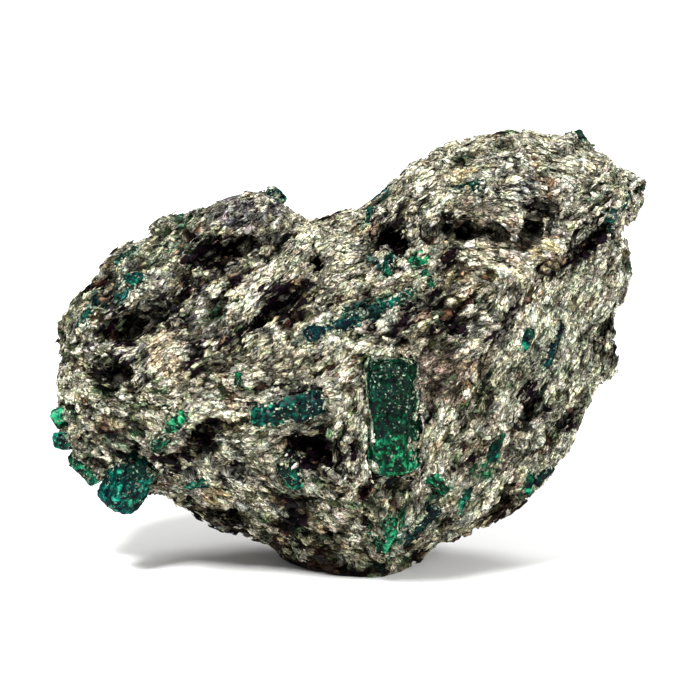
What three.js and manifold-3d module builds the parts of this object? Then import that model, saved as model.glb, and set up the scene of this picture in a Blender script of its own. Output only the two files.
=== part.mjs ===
// A hand specimen of emerald in matrix: one lump of folded mica schist with emerald crystals grown in it.
// Millimetres, +Z up, -Y is the display side. The origin is under the middle of the bounding box.
import * as THREE from "three";
import { ImprovedNoise } from "three/addons/math/ImprovedNoise.js";
import { mergeVertices } from "three/addons/utils/BufferGeometryUtils.js";
import Module from "manifold-3d";

// The lump is shaped in a leaning frame: u to the right, v up the display face, w out of that face.
const FACE_LEAN = THREE.MathUtils.degToRad(12); // the face leans back this much
const FACE_TURN = Math.PI / 2 - FACE_LEAN; // turns v mostly up and w towards -Y
const FRONT_DEPTH = 21.5; // how far the display face bulges from the widest section
const BACK_DEPTH = 24;
const ROUNDNESS = 2.35; // 2 is an ellipsoid, higher is boxier
const REST_CUT = -26.7; // height of the broken-off resting face below the lump's middle
const SPHERE_DETAIL = 11; // subdivisions of the icosahedron that becomes the lump
const EDGE_SOFTNESS = 1.0; // how round the edges between broken faces are
const SOCKET_GAP = 0.3; // clearance between a crystal and its socket
const BEVEL_SHARE = 0.11; // bevel of a crystal's ends and edges, as a share of its width

const SCHIST = { color: 0x8c8672, roughness: 0.75, metalness: 0.0 };
const EMERALD = { color: 0x0b5a3c, roughness: 0.25, metalness: 0.0 };

// The widest section, anticlockwise from the right-hand tip: two humps with a saddle between them.
const OUTLINE = [
  [40.4, 24.9], [37.4, 26.6], [33.8, 27.9], [31.4, 30.9], [26.8, 31.8], [22.4, 32.3],
  [16.8, 31.2], [10.0, 28.3], [5.2, 24.0], [2.4, 21.4], [0.9, 20.7], [-2.7, 19.9],
  [-5.9, 19.9], [-9.2, 22.2], [-12.5, 22.8], [-16.5, 21.2], [-21.5, 20.8], [-27.4, 17.6],
  [-33.6, 13.1], [-37.0, 8.6], [-39.1, 2.7], [-39.2, -4.0], [-37.4, -9.8], [-33.8, -13.8],
  [-30.0, -16.6], [-24.3, -18.6], [-18.0, -22.2], [-11.8, -22.9], [-5.4, -26.7], [3.7, -30.0],
  [8.7, -26.0], [13.9, -23.5], [18.2, -21.9], [23.8, -18.1], [29.4, -11.6], [33.5, -5.6],
  [37.2, 1.6], [36.2, 5.4], [38.0, 9.0], [38.7, 14.4], [38.1, 19.0], [39.8, 21.6],
];

// Broken faces that cut the rounded lump, each a normal in u, v, w and its distance from the middle.
const BROKEN_FACES = [
  { name: "right side", normal: [0.7, -0.3, 0.65], offset: 25.4 },
  { name: "left shoulder", normal: [-0.42, 0.56, 0.7], offset: 21.8 },
  { name: "left underside", normal: [-0.3, -0.74, 0.6], offset: 22.0 },
  { name: "right underside", normal: [0.46, -0.6, 0.66], offset: 23.2 },
  { name: "right crown", normal: [0.2, 0.76, 0.62], offset: 33.5 },
  { name: "left flank", normal: [-0.78, -0.1, 0.62], offset: 33.0 },
  { name: "back", normal: [0.14, 0.1, -0.98], offset: 21.5 },
  { name: "back left", normal: [-0.66, 0.1, -0.74], offset: 29.0 },
  { name: "back right", normal: [0.78, -0.12, -0.6], offset: 30.5 },
  { name: "back underside", normal: [0.1, -0.74, -0.66], offset: 28.0 },
  { name: "back crown", normal: [0.34, 0.7, -0.62], offset: 35.0 },
];

// Rounded swellings and dips of the surface: middle in u, v, w, how far they reach and how high they stand.
const SWELLINGS = [
  { name: "right hump front", at: [21, 20, 15], reach: 9, height: 3.6 },
  { name: "hump right end", at: [34, 21, 9], reach: 6, height: 1.3 },
  { name: "below the hump", at: [20, 10, 18], reach: 5, height: -2.6 },
  { name: "main crystal wall", at: [8, -8, 19], reach: 8, height: 1.8 },
  { name: "left knuckle", at: [-24, -2, 15], reach: 8, height: 1.8 },
  { name: "left crest", at: [-16, 18, 8], reach: 6, height: 1.6 },
  { name: "left hollow", at: [-30, 5, 10], reach: 5, height: -1.6 },
  { name: "saddle gully", at: [0, 13, 16], reach: 6, height: -2.4 },
  { name: "lower left corner", at: [-30, -12, 8], reach: 6, height: 1.2 },
  { name: "back knuckle", at: [-12, 6, -22], reach: 9, height: 2.0 },
  { name: "back hollow", at: [16, -2, -22], reach: 8, height: -2.0 },
];

// Foliation: the mica layers lie across this direction and stand out as low ledges.
const LAYER_NORMAL = new THREE.Vector3(-0.44, 0.71, 0.55).normalize();
const LAYER_SPACING = 5.4;
const LAYER_RELIEF = 0.55;
const LUMP_SCALE = 11;
const LUMP_RELIEF = 1.5;
const GRAIN_SCALE = 4.6;
const GRAIN_RELIEF = 0.55;

// Open gaps between layers: a flattened lens pressed into the surface at u, v. heading turns its length
// from u towards v.
const CREVICES = [
  { name: "under hump left", at: [16.2, 17.4], heading: -4, length: 13, gap: 2.4, depth: 7 },
  { name: "under hump middle", at: [24.4, 19.0], heading: 64, length: 8, gap: 2.6, depth: 6 },
  { name: "under hump right", at: [30.9, 15.2], heading: 31, length: 13, gap: 2.0, depth: 7 },
  { name: "under left crest", at: [-16.6, 16.4], heading: 16, length: 8.5, gap: 2.6, depth: 7 },
  { name: "middle layer gap", at: [-8.8, 8.6], heading: 42, length: 9.5, gap: 2.2, depth: 6 },
  { name: "saddle crack", at: [-3.8, 15.0], heading: 100, length: 5, gap: 1.5, depth: 6 },
  { name: "hump foot", at: [5.2, 16.8], heading: -56, length: 7, gap: 2.6, depth: 7 },
  { name: "left shoulder gap", at: [-29.0, 6.6], heading: 34, length: 9, gap: 2.6, depth: 6 },
  { name: "left flank gap", at: [-31.6, 0.4], heading: -20, length: 9, gap: 1.8, depth: 5 },
  { name: "left pocket", at: [-19.4, -9.8], heading: 70, length: 5, gap: 3.0, depth: 5 },
  { name: "beside lower prism", at: [-5.2, -11.3], heading: -22, length: 6.6, gap: 3.2, depth: 6 },
  { name: "underside gap", at: [-15.8, -19.8], heading: -18, length: 6, gap: 2.4, depth: 5 },
  { name: "right lower gap", at: [20.4, -18.4], heading: 46, length: 8, gap: 2.2, depth: 5 },
  { name: "right side hole", at: [29.4, -7.6], heading: 30, length: 3.4, gap: 1.9, depth: 5 },
  { name: "right side gap", at: [25.2, -5.8], heading: 50, length: 4.6, gap: 1.8, depth: 5 },
  { name: "right edge notch", at: [35.6, 5.6], heading: 24, length: 4.5, gap: 1.8, depth: 5 },
];

// Emerald crystals. at is u, v of the middle, heading turns the long axis from u towards v and pitch tips it
// out of the surface. sunk is how deep the axis lies under the surface, or depth gives its w for a crystal
// on the rim. side -1 puts the crystal on the back.
const CRYSTALS = [
  { name: "main_prism", at: [6.9, -6.8], heading: 89, pitch: -3, length: 15.6, width: 8.0, sunk: 2.4 },
  { name: "centre_prism", at: [-7.7, -5.6], heading: 14, pitch: 4, length: 10.4, width: 4.2, sunk: 0.9 },
  { name: "lower_prism", at: [-7.2, -13.9], heading: -66, pitch: 6, length: 5.4, width: 3.9, sunk: 0.7 },
  { name: "corner_stub", at: [-28.9, -14.9], depth: 5.2, heading: 60, pitch: 10, length: 8.6, width: 6.9 },
  { name: "edge_upper", at: [-37.1, -6.3], depth: 3.2, heading: 24, pitch: 10, length: 4.4, width: 3.1 },
  { name: "edge_middle", at: [-36.2, -9.6], depth: 4.2, heading: 4, pitch: 8, length: 5.8, width: 2.4 },
  { name: "edge_lower", at: [-35.0, -13.2], depth: 1.2, heading: -44, pitch: 4, length: 5.6, width: 3.3 },
  { name: "left_bright", at: [-22.4, -7.2], heading: 48, pitch: 8, length: 4.6, width: 2.7, sunk: 0.3 },
  { name: "left_crusted", at: [-24.5, -10.0], heading: 50, pitch: 8, length: 5.2, width: 2.6, sunk: 0.3 },
  { name: "underside_sliver", at: [-20.2, -15.5], heading: 6, pitch: 0, length: 4.4, width: 1.7, sunk: 0.2 },
  { name: "small_grain", at: [-14.1, -1.5], heading: 80, pitch: 0, length: 2.4, width: 1.6, sunk: 0.2 },
  { name: "foot_bright", at: [5.5, -22.1], heading: 74, pitch: 6, length: 6.6, width: 2.9, sunk: 0.4 },
  { name: "foot_dark", at: [10.4, -20.3], heading: 48, pitch: 4, length: 5.8, width: 3.5, sunk: 0.8 },
  { name: "below_main", at: [11.8, -15.1], heading: -44, pitch: 8, length: 4.8, width: 2.6, sunk: 0.4 },
  { name: "right_foot", at: [15.6, -17.3], heading: 66, pitch: 0, length: 4.8, width: 2.1, sunk: 0.2 },
  { name: "right_lower", at: [19.8, -10.3], heading: 70, pitch: 0, length: 4.6, width: 2.3, sunk: 0.3 },
  { name: "edge_bright", at: [24.0, -15.1], heading: 78, pitch: 0, length: 4.0, width: 1.9, sunk: 0.1 },
  { name: "edge_dark", at: [26.4, -14.3], heading: 44, pitch: 0, length: 3.6, width: 2.0, sunk: 0.3 },
  { name: "side_green", at: [23.8, 3.6], heading: 66, pitch: 0, length: 3.6, width: 1.6, sunk: 0.2 },
  { name: "side_long", at: [27.4, 2.9], heading: 70, pitch: 0, length: 7.4, width: 2.2, sunk: 0.4 },
  { name: "saddle_bright", at: [9.4, 14.1], heading: 18, pitch: 14, length: 2.8, width: 2.1, sunk: 0.0 },
  { name: "saddle_green", at: [10.8, 11.5], heading: -48, pitch: 0, length: 2.8, width: 1.5, sunk: 0.1 },
  { name: "saddle_dark", at: [5.6, 13.5], heading: 78, pitch: 0, length: 3.2, width: 2.0, sunk: 0.4 },
  { name: "band_right", at: [6.8, 8.9], heading: 24, pitch: 0, length: 5.0, width: 2.6, sunk: 0.7 },
  { name: "band_left", at: [-1.0, 5.5], heading: 22, pitch: 0, length: 9.4, width: 3.0, sunk: 1.0 },
  { name: "hump_eye", at: [15.6, 23.7], heading: 4, pitch: 6, length: 5.8, width: 2.8, sunk: 0.8 },
  { name: "crown_grain", at: [31.2, 30.4], depth: 1.0, heading: -60, pitch: 0, length: 3.0, width: 2.0 },
  { name: "hump_sliver", at: [36.6, 21.7], heading: 68, pitch: 0, length: 3.6, width: 1.5, sunk: 0.3 },
  { name: "left_crest", at: [-9.4, 22.7], depth: 2.6, heading: -34, pitch: 10, length: 3.0, width: 2.2 },
  { name: "left_pale", at: [-28.2, 11.5], heading: -14, pitch: 8, length: 4.2, width: 2.6, sunk: 0.4 },
  { name: "left_shoulder", at: [-29.2, 14.9], heading: 40, pitch: 0, length: 4.0, width: 2.2, sunk: 0.5 },
  { name: "left_flank", at: [-34.8, 6.7], heading: 70, pitch: 0, length: 3.0, width: 1.7, sunk: 0.3 },
  { name: "hump_foot", at: [3.2, 20.2], heading: 72, pitch: 0, length: 3.4, width: 1.9, sunk: 0.4 },
  { name: "back_prism", at: [-9, -3], heading: 62, pitch: 4, length: 11, width: 5.0, sunk: 1.3, side: -1 },
  { name: "back_upper", at: [18, 14], heading: 28, pitch: 4, length: 6.4, width: 3.2, sunk: 0.7, side: -1 },
  { name: "back_left", at: [-24, 5], heading: -30, pitch: 2, length: 5.2, width: 2.8, sunk: 0.5, side: -1 },
  { name: "back_right", at: [24, -4], heading: 74, pitch: 2, length: 6.8, width: 3.0, sunk: 0.6, side: -1 },
  { name: "back_lower", at: [8, -13], heading: -20, pitch: 0, length: 5.0, width: 2.6, sunk: 0.5, side: -1 },
  { name: "back_grain", at: [3, 9], heading: 50, pitch: 0, length: 3.0, width: 1.9, sunk: 0.2, side: -1 },
];

const noise = new ImprovedNoise();
const wasm = await Module();
wasm.setup();

// Distance from the middle to the outline, by angle from u towards v.
const outlineRadius = (() => {
  const samples = 720;
  const curve = new THREE.CatmullRomCurve3(
    OUTLINE.map(([u, v]) => new THREE.Vector3(u, v, 0)),
    true,
    "centripetal",
  );
  const polar = curve
    .getPoints(samples)
    .slice(0, samples)
    .map((p) => [Math.atan2(p.y, p.x), Math.hypot(p.x, p.y)])
    .sort((a, b) => a[0] - b[0]);
  return (angle) => {
    const after = polar.findIndex(([a]) => a > angle);
    const [a1, r1] = after < 0 ? [polar[0][0] + 2 * Math.PI, polar[0][1]] : polar[after];
    const [a0, r0] = after > 0 ? polar[after - 1] : polar[samples - 1];
    const start = after === 0 ? a0 - 2 * Math.PI : a0;
    return THREE.MathUtils.mapLinear(angle, start, a1, r0, r1);
  };
})();

// A sum of two octaves of gradient noise, about -1 to 1.
function ripple(x, y, z) {
  return noise.noise(x, y, z) + 0.5 * noise.noise(2.1 * x + 7, 2.1 * y - 3, 2.1 * z + 5);
}

// How far the surface stands out at a point near it: lumps, ledges along the layers, and grain.
function relief(p) {
  const along = p.dot(LAYER_NORMAL) + 2.2 * ripple(p.x / 17, p.y / 17, p.z / 17);
  const ledge = Math.abs(((along / LAYER_SPACING) % 1 + 1) % 1 - 0.5) * 4 - 1;
  return (
    LUMP_RELIEF * ripple(p.x / LUMP_SCALE, p.y / LUMP_SCALE + 9, p.z / LUMP_SCALE) +
    LAYER_RELIEF * ledge +
    GRAIN_RELIEF * ripple(p.x / GRAIN_SCALE + 31, p.y / GRAIN_SCALE, p.z / GRAIN_SCALE)
  );
}

// Distance from the middle to the surface in a direction given in u, v, w.
function surfaceRadius(direction) {
  const { x: u, y: v, z: w } = direction;
  const across = Math.hypot(u, v) / outlineRadius(Math.atan2(v, u));
  const deep = Math.abs(w) / (w > 0 ? FRONT_DEPTH : BACK_DEPTH);
  const rounded = (across ** ROUNDNESS + deep ** ROUNDNESS) ** (-1 / ROUNDNESS);
  let crowding = Math.exp(-rounded / EDGE_SOFTNESS);
  for (const { normal, offset } of BROKEN_FACES) {
    const facing = new THREE.Vector3(...normal).normalize().dot(direction);
    if (facing > 0.05) crowding += Math.exp(-offset / facing / EDGE_SOFTNESS);
  }
  let radius = -EDGE_SOFTNESS * Math.log(crowding);
  const p = direction.clone().multiplyScalar(radius);
  for (const { at, reach, height } of SWELLINGS) {
    const away = p.distanceTo(new THREE.Vector3(...at)) / reach;
    radius += height * Math.exp(-away * away);
  }
  const inFace = 1 - 0.55 * Math.exp(-((w * 6) ** 2)); // the widest section keeps its outline
  return radius + inFace * relief(p);
}

// The surface's place in front of (side 1) or behind (side -1) a point of the u, v plane.
function surfaceDepth([u, v], side = 1) {
  let inside = 0;
  let outside = 40;
  for (let step = 0; step < 30; step++) {
    const middle = (inside + outside) / 2;
    const p = new THREE.Vector3(u, v, side * middle);
    const reach = p.length();
    if (reach < surfaceRadius(p.divideScalar(reach))) inside = middle;
    else outside = middle;
  }
  return side * inside;
}

// Outward normal of the surface at a point of the u, v plane.
function surfaceNormal([u, v], side = 1) {
  const step = 1.5;
  const slopeU = (surfaceDepth([u + step, v], side) - surfaceDepth([u - step, v], side)) / (2 * step);
  const slopeV = (surfaceDepth([u, v + step], side) - surfaceDepth([u, v - step], side)) / (2 * step);
  const steepest = 1.6;
  const clampSlope = (slope) => THREE.MathUtils.clamp(slope, -steepest, steepest);
  return new THREE.Vector3(-clampSlope(slopeU), -clampSlope(slopeV), 1).normalize().multiplyScalar(side);
}

// A closed solid from a three.js geometry, moved by a matrix.
function toSolid(geometry, matrix = new THREE.Matrix4()) {
  const bare = geometry.clone().applyMatrix4(matrix);
  bare.deleteAttribute("normal");
  bare.deleteAttribute("uv");
  const merged = mergeVertices(bare, 1e-4);
  return new wasm.Manifold(
    new wasm.Mesh({
      numProp: 3,
      vertProperties: new Float32Array(merged.attributes.position.array),
      triVerts: new Uint32Array(merged.index.array),
    }),
  );
}

function toGeometry(solid) {
  const { vertProperties, triVerts } = solid.getMesh();
  const geometry = new THREE.BufferGeometry();
  geometry.setAttribute("position", new THREE.BufferAttribute(new Float32Array(vertProperties), 3));
  geometry.setIndex(new THREE.BufferAttribute(new Uint32Array(triVerts), 1));
  return geometry;
}

function lumpSolid() {
  const geometry = new THREE.IcosahedronGeometry(1, SPHERE_DETAIL);
  const position = geometry.attributes.position;
  const direction = new THREE.Vector3();
  for (let i = 0; i < position.count; i++) {
    direction.fromBufferAttribute(position, i).normalize();
    const radius = surfaceRadius(direction);
    position.setXYZ(i, direction.x * radius, direction.y * radius, direction.z * radius);
  }
  return toSolid(geometry);
}

// A turned placement whose x axis runs along the surface, in the heading as seen from the display side, and
// whose z axis is the surface normal.
function placement(at, heading, normal, depth, pitch = 0) {
  const turn = THREE.MathUtils.degToRad(heading);
  const rise = THREE.MathUtils.degToRad(pitch);
  const along = new THREE.Vector3(Math.cos(turn), Math.sin(turn), 0);
  along.z = -along.dot(normal) / normal.z;
  along.normalize();
  const x = along.multiplyScalar(Math.cos(rise)).addScaledVector(normal, Math.sin(rise)).normalize();
  const y = new THREE.Vector3().crossVectors(normal, x).normalize();
  const z = new THREE.Vector3().crossVectors(x, y);
  return new THREE.Matrix4().makeBasis(x, y, z).setPosition(at[0], at[1], depth);
}

function creviceSolid({ at, heading, length, gap, depth }) {
  const lens = new THREE.SphereGeometry(0.5, 8, 6);
  lens.scale(length, gap, 2 * depth);
  return toSolid(lens, placement(at, heading, surfaceNormal(at), surfaceDepth(at)));
}

// A six-sided prism along x with blunted ends. Its faces are a little unequal, as grown ones are.
function prismGeometry(length, width, extra = 0) {
  const side = new THREE.Shape();
  const stretch = [1.0, 0.96, 1.05, 1.0, 0.95, 1.03];
  const bevel = width * BEVEL_SHARE;
  stretch.forEach((amount, i) => {
    const angle = (i * Math.PI) / 3;
    const radius = (width / 2 + extra - bevel) * amount;
    const corner = [radius * Math.cos(angle), radius * Math.sin(angle)];
    if (i === 0) side.moveTo(...corner);
    else side.lineTo(...corner);
  });
  const prism = new THREE.ExtrudeGeometry(side, {
    depth: length + 2 * extra - 2 * bevel,
    steps: 1,
    bevelEnabled: true,
    bevelThickness: bevel,
    bevelSize: bevel,
    bevelSegments: 1,
  });
  prism.translate(0, 0, -(length / 2 + extra - bevel));
  return prism.rotateY(Math.PI / 2);
}

function crystalPlacement({ at, heading, pitch, sunk = 0, depth, side = 1 }) {
  const normal = depth === undefined ? surfaceNormal(at, side) : new THREE.Vector3(0, 0, 1);
  const surface = depth ?? surfaceDepth(at, side);
  const place = placement(at, heading, normal, surface, pitch);
  const down = normal.clone().multiplyScalar(-sunk);
  return new THREE.Matrix4().makeTranslation(down.x, down.y, down.z).multiply(place);
}

// Everything of the lump above the resting face.
function aboveRestingFace() {
  const size = 200;
  const keep = new THREE.BoxGeometry(size, size, size);
  const matrix = new THREE.Matrix4().makeRotationX(-FACE_TURN);
  return toSolid(keep, matrix.multiply(new THREE.Matrix4().makeTranslation(0, 0, size / 2 + REST_CUT)));
}

function matrixSolid() {
  let solid = lumpSolid();
  for (const crevice of CREVICES) solid = solid.subtract(creviceSolid(crevice));
  for (const crystal of CRYSTALS) {
    const socket = prismGeometry(crystal.length, crystal.width, SOCKET_GAP);
    solid = solid.subtract(toSolid(socket, crystalPlacement(crystal)));
  }
  solid = solid.intersect(aboveRestingFace());
  const pieces = solid.decompose().sort((a, b) => b.volume() - a.volume());
  return pieces[0]; // thin splinters between two sockets fall away
}

const specimen = new THREE.Group();
const leaning = new THREE.Group();
leaning.rotation.x = FACE_TURN;
specimen.add(leaning);

const schist = new THREE.Mesh(toGeometry(matrixSolid()), new THREE.MeshStandardMaterial(SCHIST));
schist.name = "mica_schist_matrix";
leaning.add(schist);

for (const crystal of CRYSTALS) {
  const geometry = prismGeometry(crystal.length, crystal.width);
  const mesh = new THREE.Mesh(geometry, new THREE.MeshStandardMaterial(EMERALD));
  mesh.name = `emerald_${crystal.name}`;
  mesh.applyMatrix4(crystalPlacement(crystal));
  leaning.add(mesh);
}

// The origin goes under the middle of the bounding box.
specimen.updateMatrixWorld(true);
const box = new THREE.Box3().setFromObject(specimen, true);
const middle = box.getCenter(new THREE.Vector3());
leaning.position.set(-middle.x, -middle.y, -box.min.z);

export default specimen;
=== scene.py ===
import math

import bpy
import numpy as np
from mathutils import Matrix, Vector, kdtree
from mathutils.bvhtree import BVHTree


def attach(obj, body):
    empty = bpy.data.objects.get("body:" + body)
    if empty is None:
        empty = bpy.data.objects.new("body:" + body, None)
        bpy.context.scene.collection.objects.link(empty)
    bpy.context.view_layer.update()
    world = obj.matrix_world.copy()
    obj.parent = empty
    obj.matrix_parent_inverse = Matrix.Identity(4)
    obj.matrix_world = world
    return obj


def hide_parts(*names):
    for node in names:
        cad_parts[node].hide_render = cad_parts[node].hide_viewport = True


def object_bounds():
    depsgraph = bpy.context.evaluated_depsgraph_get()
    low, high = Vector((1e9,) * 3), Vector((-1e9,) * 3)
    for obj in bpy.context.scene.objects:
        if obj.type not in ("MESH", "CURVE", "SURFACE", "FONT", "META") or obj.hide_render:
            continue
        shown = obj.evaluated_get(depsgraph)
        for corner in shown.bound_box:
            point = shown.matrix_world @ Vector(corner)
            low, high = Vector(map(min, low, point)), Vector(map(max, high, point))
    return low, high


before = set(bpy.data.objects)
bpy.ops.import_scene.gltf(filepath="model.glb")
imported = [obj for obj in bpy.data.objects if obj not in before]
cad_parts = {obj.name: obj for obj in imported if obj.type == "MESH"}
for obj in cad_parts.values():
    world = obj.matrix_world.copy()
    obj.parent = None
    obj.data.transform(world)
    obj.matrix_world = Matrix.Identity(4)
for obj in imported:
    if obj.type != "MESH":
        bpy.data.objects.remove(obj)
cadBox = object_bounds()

mm = 0.001

# The display face leans back by this much. Places on it are given in millimetres as across and up:
# across is to the right of the middle, up is along the leaning face from the resting plane.
faceLean = math.radians(12)
faceAcross = np.array([1.0, 0.0, 0.0])
faceUp = np.array([0.0, math.sin(faceLean), math.cos(faceLean)])
faceOut = np.array([0.0, -math.cos(faceLean), math.sin(faceLean)])

# How the mica layers run on the display face: a place, the run in degrees from across towards up, and the
# reach of that run.
layerRuns = [
    ((-18, 46), 30, 10), ((-31, 38), 38, 9), ((-27, 30), 26, 8), ((-9, 34), 38, 9), ((-33, 22), -16, 8),
    ((-20, 10), -22, 8), ((-12, 20), 8, 8), ((-6, 4), -30, 8), ((5, 14), 68, 7), ((2, 36), 24, 7),
    ((12, 32), 32, 6), ((8, 47), 38, 7), ((17, 54), 16, 8), ((28, 55), -12, 7), ((35, 48), 42, 7),
    ((22, 45), -8, 7), ((29, 33), 62, 8), ((25, 20), 58, 8), ((18, 10), 46, 8),
]

# Colours of the schist, as light reflected from 0 to 1.
micaColours = {
    "white": (0.61, 0.595, 0.505),
    "cream": (0.64, 0.60, 0.47),
    "pale": (0.52, 0.505, 0.40),
    "beige": (0.385, 0.36, 0.255),
    "greyGreen": (0.42, 0.44, 0.34),
    "grey": (0.205, 0.193, 0.125),
    "olive": (0.066, 0.064, 0.030),
    "brown": (0.028, 0.015, 0.010),
    "tan": (0.42, 0.34, 0.21),
    "peach": (0.64, 0.54, 0.40),
    "silver": (0.30, 0.30, 0.29),
    "rust": (0.20, 0.125, 0.075),
    "rose": (0.36, 0.29, 0.235),
    "lilac": (0.24, 0.225, 0.24),
    "biotite": (0.006, 0.001, 0.005),
    "green": (0.025, 0.14, 0.07),
    "teal": (0.012, 0.065, 0.06),
}

# Where one colour takes over: its place, half length and half width, run in degrees, and how fully. A later
# one lies over an earlier one. The dark biotite and rust patches that lie over the hollows sunk in
# landforms are partly dark mica and partly painted shade in those hollows.
colourPatches = [
    ("greyGreen", (29, 28), (14, 9), 62, 0.55), ("pale", (7, 19), (6, 11), 0, 0.45),
    ("lilac", (-27, 33), (14, 9), 32, 0.42), ("olive", (-9, 6), (12, 7), -20, 0.4),
    ("olive", (-14, 16), (8, 7), 0, 0.38), ("lilac", (-13.5, 46.8), (6.5, 3), 14, 0.62),
    ("biotite", (-28, 32.4), (7.5, 4.2), 24, 0.48), ("biotite", (-31, 25.6), (5.5, 2.6), -14, 0.5),
    ("biotite", (-17.4, 41.6), (4.6, 1.9), 16, 1), ("biotite", (-9.2, 34.4), (4.6, 2.6), 42, 0.9),
    ("biotite", (-11.5, 32.6), (5.5, 1.2), 32, 0.6), ("biotite", (-28.6, 39.6), (4.5, 1.6), 30, 0.7),
    ("biotite", (-22, 36.6), (5.5, 1.4), 36, 0.6), ("biotite", (-20.6, 27.4), (1.6, 3), -20, 0.7),
    ("biotite", (4.6, 42.2), (4.2, 2.8), -56, 0.8), ("biotite", (7, 33.4), (7, 2.2), 24, 0.72),
    ("biotite", (12, 30.8), (5, 1.7), 16, 0.62), ("biotite", (15.4, 43.6), (4.6, 1.6), -8, 0.5),
    ("biotite", (19.4, 44.2), (1.9, 1.5), 20, 0.7), ("biotite", (23.6, 44.8), (3, 0.8), 64, 0.8),
    ("biotite", (28.5, 46.6), (2.6, 2.2), 20, 0.5), ("biotite", (29.5, 41.2), (7.5, 1.6), 29, 0.95),
    ("biotite", (21.6, 33.4), (5, 1.1), 52, 0.7), ("biotite", (18, 29), (4, 0.8), 60, 0.5),
    ("biotite", (-20, 15.8), (2.6, 2.8), 0, 0.95), ("biotite", (-16.6, 12.6), (3, 1.5), -20, 0.75),
    ("biotite", (-23.6, 12.9), (2, 1.2), 0, 0.8), ("biotite", (-29, 14.4), (2.4, 1), 10, 0.8),
    ("biotite", (-5, 14.6), (3.2, 3), 0, 1), ("biotite", (-0.4, 14.6), (2.2, 1.4), 10, 0.7),
    ("biotite", (-5, 23), (1.9, 1.1), 14, 1), ("biotite", (-11.6, 21), (3, 0.6), -24, 0.7),
    ("biotite", (-7.6, 5.4), (2, 4), 20, 0.6), ("brown", (-16, 4.5), (7, 2.2), -30, 0.5),
    ("brown", (-3, -0.8), (9, 1.5), -12, 0.8), ("brown", (20.4, 7), (4.6, 1.9), 42, 0.75),
    ("biotite", (15.5, 13.4), (2.4, 2.2), 0, 0.6), ("biotite", (23.6, 22.6), (1.6, 1.2), 20, 0.85),
    ("biotite", (26, 19.6), (2.2, 0.8), 58, 0.8), ("biotite", (29.2, 18.4), (1.4, 1), 30, 0.95),
    ("cream", (-9.3, 27.6), (5.2, 3.4), 0, 0.75), ("peach", (-24.6, 28.4), (2, 4), 20, 0.75),
    ("pale", (-18.4, 13.2), (1.9, 1.6), 20, 1), ("tan", (-17.8, 8.8), (2, 1.4), -10, 0.95),
    ("pale", (-24.2, 18.6), (3.4, 1.8), -10, 0.7), ("pale", (-1.4, 42), (4.4, 2.8), 58, 0.75),
    ("pale", (-6.6, 43), (4.6, 2.8), 40, 0.6), ("cream", (2, 36.4), (3.2, 1.7), 10, 0.85),
    ("cream", (21.5, 39.8), (4.4, 2), -42, 0.85), ("tan", (26, 41), (2.4, 1.4), -10, 0.8),
    ("tan", (13.4, 51.4), (3.2, 1.8), 10, 0.7), ("rose", (21, 42), (2.6, 3.6), 0, 0.6),
    ("rose", (11.5, 25.6), (5, 4.5), 0, 0.7), ("rust", (15.2, 24.4), (3, 3.4), 20, 0.42),
    ("rust", (25.6, 51), (5.4, 1.1), -66, 0.75), ("pale", (22, 14), (10, 3), 50, 0.55),
    ("greyGreen", (-26, 43), (9, 3), 38, 0.6), ("green", (-22.6, 46), (2, 1), 30, 0.6),
    ("teal", (-30.2, 40), (3.2, 1.4), 42, 0.5), ("green", (-23.8, 42.6), (1.8, 0.9), 20, 0.6),
    ("teal", (-34, 35.5), (2.8, 1.2), 66, 0.7), ("teal", (-28, 36.2), (2.2, 1), 10, 0.45),
    ("green", (-17.2, 33.7), (2.4, 1.4), 20, 0.45), ("green", (18, 12.4), (2.8, 1.6), 60, 0.55),
    ("green", (5.5, 4.5), (2.8, 3.4), 30, 0.7), ("teal", (8, 3.8), (2.4, 1.6), 40, 0.6),
    ("green", (11.6, 9.4), (3, 1.2), 40, 0.5), ("teal", (2.6, 40.4), (2.6, 1.6), 70, 0.5),
    ("teal", (0, 32.8), (8.5, 1.5), 22, 0.62), ("teal", (4, 50), (3, 1), 62, 0.7),
    ("teal", (35, 46.4), (2.4, 0.8), 66, 0.7), ("pale", (31.9, 51.7), (5.4, 3.2), -30, 0.7),
    ("pale", (22, 56), (8, 2), 0, 0.45), ("pale", (11.6, 51.5), (4.5, 3.5), 35, 0.45),
    ("pale", (13.5, 46.6), (2.2, 1.8), 0, 0.6), ("rose", (18.1, 47.5), (3, 2.6), 0, 0.5),
    ("silver", (23.5, 49.6), (2.6, 1.6), 60, 0.85), ("cream", (17.3, 41), (3.4, 1.6), -14, 0.8),
    ("white", (-28.7, 37.8), (1.7, 0.9), -20, 0.9), ("teal", (-30.6, 36), (1.7, 1), 10, 0.7),
]

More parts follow.
